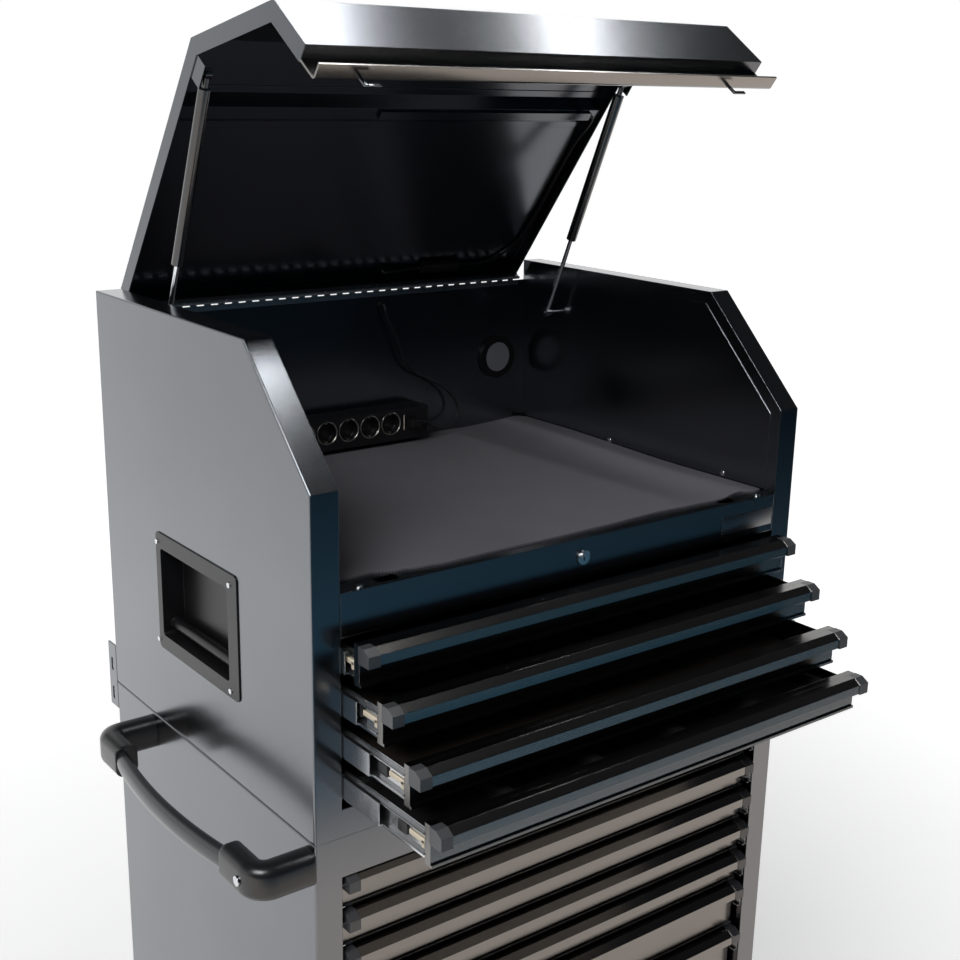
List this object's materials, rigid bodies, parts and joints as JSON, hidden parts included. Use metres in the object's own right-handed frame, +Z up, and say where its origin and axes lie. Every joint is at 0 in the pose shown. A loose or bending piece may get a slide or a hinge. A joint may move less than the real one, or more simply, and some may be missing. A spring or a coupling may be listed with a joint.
{
  "type": "tool trolley with top chest",
  "caption": "Wheeled steel drawer trolley with a drawer chest on top, whose sloped lid opens on gas struts over a matted shelf with a power strip.",
  "frame": {"origin": "on the floor below the middle of the whole object's box, drawers and push handle included", "axes": "+Z up, drawers open towards -Y, +X to the right of someone who faces the drawers"},
  "size_m": [1.0115, 0.8814, 1.943],
  "materials": {
    "black_powder_coat": "gloss powder coat",
    "lid_coat": "gloss powder coat",
    "pull_coat": "satin powder coat, blue grey",
    "zinc_plate": "bright zinc plate",
    "bright_steel": "polished",
    "black_plastic": "fine grain",
    "handle_plastic": "fine grain",
    "mat_rubber": "ribbed",
    "cord_rubber": "smooth",
    "wheel_tyre": "solid rubber on a plastic rim",
    "strut_steel": "gloss black"
  },
  "bodies": {
    "cabinet": {"chest_case": "black_powder_coat", "worktop_tray": "black_powder_coat", "worktop_mat": "mat_rubber", "hinge_leaf_fixed": "black_powder_coat", "power_strip": "black_plastic", "usb_plug": "black_plastic", "lamp_cord_lower": "cord_rubber", "cable_grommet": "black_plastic", "side_handles": "black_plastic", "coupling_brackets": "black_powder_coat", "slide_outers": "zinc_plate", "fasteners": "bright_steel", "trolley_case": "black_powder_coat", "push_handle_bar": "pull_coat", "push_handle_elbows": "handle_plastic", "castor_plates": "zinc_plate"},
    "lid": {"lid_shell": "lid_coat", "lid_grip_rail": "pull_coat", "hinge_leaf_lid": "black_powder_coat", "lamp_cord_upper": "cord_rubber", "lamp_switch": "black_plastic"},
    "lock": {"lock_barrel": "bright_steel"},
    "strut_left_rod": {"strut_rod_left": "strut_steel"},
    "strut_left_cylinder": {"strut_cylinder_left": "strut_steel"},
    "strut_right_rod": {"strut_rod_right": "strut_steel"},
    "strut_right_cylinder": {"strut_cylinder_right": "strut_steel"},
    "chest_drawer_1": {"chest_drawer_1_tray": "black_powder_coat", "chest_drawer_1_pull": "pull_coat"},
    "chest_drawer_1_mid": {"chest_drawer_1_slide_mid": "zinc_plate"},
    "chest_drawer_2": {"chest_drawer_2_tray": "black_powder_coat", "chest_drawer_2_pull": "pull_coat"},
    "chest_drawer_2_mid": {"chest_drawer_2_slide_mid": "zinc_plate"},
    "chest_drawer_3": {"chest_drawer_3_tray": "black_powder_coat", "chest_drawer_3_pull": "pull_coat"},
    "chest_drawer_3_mid": {"chest_drawer_3_slide_mid": "zinc_plate"},
    "chest_drawer_4": {"chest_drawer_4_tray": "black_powder_coat", "chest_drawer_4_pull": "pull_coat"},
    "chest_drawer_4_mid": {"chest_drawer_4_slide_mid": "zinc_plate"},
    "trolley_drawer_1": {"trolley_drawer_1": "black_powder_coat"},
    "trolley_drawer_1_mid": {"trolley_drawer_1_slide_mid": "zinc_plate"},
    "trolley_drawer_2": {"trolley_drawer_2": "black_powder_coat"},
    "trolley_drawer_2_mid": {"trolley_drawer_2_slide_mid": "zinc_plate"},
    "trolley_drawer_3": {"trolley_drawer_3": "black_powder_coat"},
    "trolley_drawer_3_mid": {"trolley_drawer_3_slide_mid": "zinc_plate"},
    "trolley_drawer_4": {"trolley_drawer_4": "black_powder_coat"},
    "trolley_drawer_4_mid": {"trolley_drawer_4_slide_mid": "zinc_plate"},
    "trolley_drawer_5": {"trolley_drawer_5": "black_powder_coat"},
    "trolley_drawer_5_mid": {"trolley_drawer_5_slide_mid": "zinc_plate"},
    "trolley_drawer_6": {"trolley_drawer_6": "black_powder_coat"},
    "trolley_drawer_6_mid": {"trolley_drawer_6_slide_mid": "zinc_plate"},
    "trolley_drawer_7": {"trolley_drawer_7": "black_powder_coat"},
    "trolley_drawer_7_mid": {"trolley_drawer_7_slide_mid": "zinc_plate"},
    "fork_front": {"castor_fork_front": "zinc_plate"},
    "swivel_wheel_front": {"wheel_swivel_front": "wheel_tyre"},
    "fixed_wheel_front": {"wheel_fixed_front": "wheel_tyre"},
    "brake_front": {"brake_lever_front": "zinc_plate"},
    "fork_rear": {"castor_fork_rear": "zinc_plate"},
    "swivel_wheel_rear": {"wheel_swivel_rear": "wheel_tyre"},
    "fixed_wheel_rear": {"wheel_fixed_rear": "wheel_tyre"},
    "brake_rear": {"brake_lever_rear": "zinc_plate"}
  },
  "joints": [
    {"name": "lid_hinge", "type": "hinge", "parent": "cabinet", "child": "lid", "pos_m": [0.053, 0.4055, 1.50895], "axis": [1, 0, 0], "range_deg": [0, 53.8], "stiffness_Nm_per_rad": 10, "springref_deg": -171.89},
    {"name": "lock_turn", "type": "hinge", "parent": "cabinet", "child": "lock", "pos_m": [0.0537, -0.23, 1.20015], "axis": [0, 1, 0], "range_deg": [0, 90]},
    {"name": "strut_left_pivot", "type": "hinge", "parent": "cabinet", "child": "strut_left_rod", "pos_m": [-0.332, 0.3107, 1.45465], "axis": [1, 0, 0], "range_deg": [0, 59.44]},
    {"name": "strut_left_slide", "type": "slide", "parent": "strut_left_rod", "child": "strut_left_cylinder", "axis": [0, -0.3966, 0.918], "range_m": [-0.09092, 0]},
    {"name": "strut_right_pivot", "type": "hinge", "parent": "cabinet", "child": "strut_right_rod", "pos_m": [0.438, 0.3107, 1.45465], "axis": [1, 0, 0], "range_deg": [0, 59.44]},
    {"name": "strut_right_slide", "type": "slide", "parent": "strut_right_rod", "child": "strut_right_cylinder", "axis": [0, -0.3966, 0.918], "range_m": [-0.09092, 0]},
    {"name": "chest_drawer_1_slide", "type": "slide", "parent": "cabinet", "child": "chest_drawer_1", "axis": [0, -1, 0], "range_m": [-0.048, 0.452]},
    {"name": "chest_drawer_1_mid_slide", "type": "slide", "parent": "cabinet", "child": "chest_drawer_1_mid", "axis": [0, -1, 0], "range_m": [-0.024, 0.226]},
    {"name": "chest_drawer_2_slide", "type": "slide", "parent": "cabinet", "child": "chest_drawer_2", "axis": [0, -1, 0], "range_m": [-0.101, 0.399]},
    {"name": "chest_drawer_2_mid_slide", "type": "slide", "parent": "cabinet", "child": "chest_drawer_2_mid", "axis": [0, -1, 0], "range_m": [-0.0505, 0.1995]},
    {"name": "chest_drawer_3_slide", "type": "slide", "parent": "cabinet", "child": "chest_drawer_3", "axis": [0, -1, 0], "range_m": [-0.16, 0.34]},
    {"name": "chest_drawer_3_mid_slide", "type": "slide", "parent": "cabinet", "child": "chest_drawer_3_mid", "axis": [0, -1, 0], "range_m": [-0.08, 0.17]},
    {"name": "chest_drawer_4_slide", "type": "slide", "parent": "cabinet", "child": "chest_drawer_4", "axis": [0, -1, 0], "range_m": [-0.204, 0.296]},
    {"name": "chest_drawer_4_mid_slide", "type": "slide", "parent": "cabinet", "child": "chest_drawer_4_mid", "axis": [0, -1, 0], "range_m": [-0.102, 0.148]},
    {"name": "trolley_drawer_1_slide", "type": "slide", "parent": "cabinet", "child": "trolley_drawer_1", "axis": [0, -1, 0], "range_m": [0, 0.5]},
    {"name": "trolley_drawer_1_mid_slide", "type": "slide", "parent": "cabinet", "child": "trolley_drawer_1_mid", "axis": [0, -1, 0], "range_m": [0, 0.25]},
    {"name": "trolley_drawer_2_slide", "type": "slide", "parent": "cabinet", "child": "trolley_drawer_2", "axis": [0, -1, 0], "range_m": [0, 0.5]},
    {"name": "trolley_drawer_2_mid_slide", "type": "slide", "parent": "cabinet", "child": "trolley_drawer_2_mid", "axis": [0, -1, 0], "range_m": [0, 0.25]},
    {"name": "trolley_drawer_3_slide", "type": "slide", "parent": "cabinet", "child": "trolley_drawer_3", "axis": [0, -1, 0], "range_m": [0, 0.5]},
    {"name": "trolley_drawer_3_mid_slide", "type": "slide", "parent": "cabinet", "child": "trolley_drawer_3_mid", "axis": [0, -1, 0], "range_m": [0, 0.25]},
    {"name": "trolley_drawer_4_slide", "type": "slide", "parent": "cabinet", "child": "trolley_drawer_4", "axis": [0, -1, 0], "range_m": [0, 0.5]},
    {"name": "trolley_drawer_4_mid_slide", "type": "slide", "parent": "cabinet", "child": "trolley_drawer_4_mid", "axis": [0, -1, 0], "range_m": [0, 0.25]},
    {"name": "trolley_drawer_5_slide", "type": "slide", "parent": "cabinet", "child": "trolley_drawer_5", "axis": [0, -1, 0], "range_m": [0, 0.5]},
    {"name": "trolley_drawer_5_mid_slide", "type": "slide", "parent": "cabinet", "child": "trolley_drawer_5_mid", "axis": [0, -1, 0], "range_m": [0, 0.25]},
    {"name": "trolley_drawer_6_slide", "type": "slide", "parent": "cabinet", "child": "trolley_drawer_6", "axis": [0, -1, 0], "range_m": [0, 0.5]},
    {"name": "trolley_drawer_6_mid_slide", "type": "slide", "parent": "cabinet", "child": "trolley_drawer_6_mid", "axis": [0, -1, 0], "range_m": [0, 0.25]},
    {"name": "trolley_drawer_7_slide", "type": "slide", "parent": "cabinet", "child": "trolley_drawer_7", "axis": [0, -1, 0], "range_m": [0, 0.5]},
    {"name": "trolley_drawer_7_mid_slide", "type": "slide", "parent": "cabinet", "child": "trolley_drawer_7_mid", "axis": [0, -1, 0], "range_m": [0, 0.25]},
    {"name": "castor_swivel_front", "type": "hinge", "parent": "cabinet", "child": "fork_front", "pos_m": [-0.312, -0.155, 0.0625], "axis": [0, 0, 1], "continuous": true},
    {"name": "swivel_wheel_front_roll", "type": "hinge", "parent": "fork_front", "child": "swivel_wheel_front", "pos_m": [-0.35, -0.155, 0.0625], "axis": [0, 1, 0], "continuous": true},
    {"name": "fixed_wheel_front_roll", "type": "hinge", "parent": "cabinet", "child": "fixed_wheel_front", "pos_m": [0.418, -0.155, 0.0625], "axis": [0, 1, 0], "continuous": true},
    {"name": "brake_front_press", "type": "hinge", "parent": "fork_front", "child": "brake_front", "pos_m": [-0.356, -0.155, 0.1365], "axis": [0, -1, 0], "range_deg": [0, 8]},
    {"name": "castor_swivel_rear", "type": "hinge", "parent": "cabinet", "child": "fork_rear", "pos_m": [-0.312, 0.335, 0.0625], "axis": [0, 0, 1], "continuous": true},
    {"name": "swivel_wheel_rear_roll", "type": "hinge", "parent": "fork_rear", "child": "swivel_wheel_rear", "pos_m": [-0.35, 0.335, 0.0625], "axis": [0, 1, 0], "continuous": true},
    {"name": "fixed_wheel_rear_roll", "type": "hinge", "parent": "cabinet", "child": "fixed_wheel_rear", "pos_m": [0.418, 0.335, 0.0625], "axis": [0, 1, 0], "continuous": true},
    {"name": "brake_rear_press", "type": "hinge", "parent": "fork_rear", "child": "brake_rear", "pos_m": [-0.356, 0.335, 0.1365], "axis": [0, -1, 0], "range_deg": [0, 8]}
  ],
  "couplings": [
    {"joint": "strut_left_pivot", "follows": "lid_hinge", "ratio": 1.1049},
    {"joint": "strut_left_slide", "follows": "lid_hinge", "m_per_rad": -0.096825},
    {"joint": "strut_right_pivot", "follows": "lid_hinge", "ratio": 1.1049},
    {"joint": "strut_right_slide", "follows": "lid_hinge", "m_per_rad": -0.096825},
    {"joint": "chest_drawer_1_mid_slide", "follows": "chest_drawer_1_slide", "ratio": 0.5},
    {"joint": "chest_drawer_2_mid_slide", "follows": "chest_drawer_2_slide", "ratio": 0.5},
    {"joint": "chest_drawer_3_mid_slide", "follows": "chest_drawer_3_slide", "ratio": 0.5},
    {"joint": "chest_drawer_4_mid_slide", "follows": "chest_drawer_4_slide", "ratio": 0.5},
    {"joint": "trolley_drawer_1_mid_slide", "follows": "trolley_drawer_1_slide", "ratio": 0.5},
    {"joint": "trolley_drawer_2_mid_slide", "follows": "trolley_drawer_2_slide", "ratio": 0.5},
    {"joint": "trolley_drawer_3_mid_slide", "follows": "trolley_drawer_3_slide", "ratio": 0.5},
    {"joint": "trolley_drawer_4_mid_slide", "follows": "trolley_drawer_4_slide", "ratio": 0.5},
    {"joint": "trolley_drawer_5_mid_slide", "follows": "trolley_drawer_5_slide", "ratio": 0.5},
    {"joint": "trolley_drawer_6_mid_slide", "follows": "trolley_drawer_6_slide", "ratio": 0.5},
    {"joint": "trolley_drawer_7_mid_slide", "follows": "trolley_drawer_7_slide", "ratio": 0.5}
  ]
}
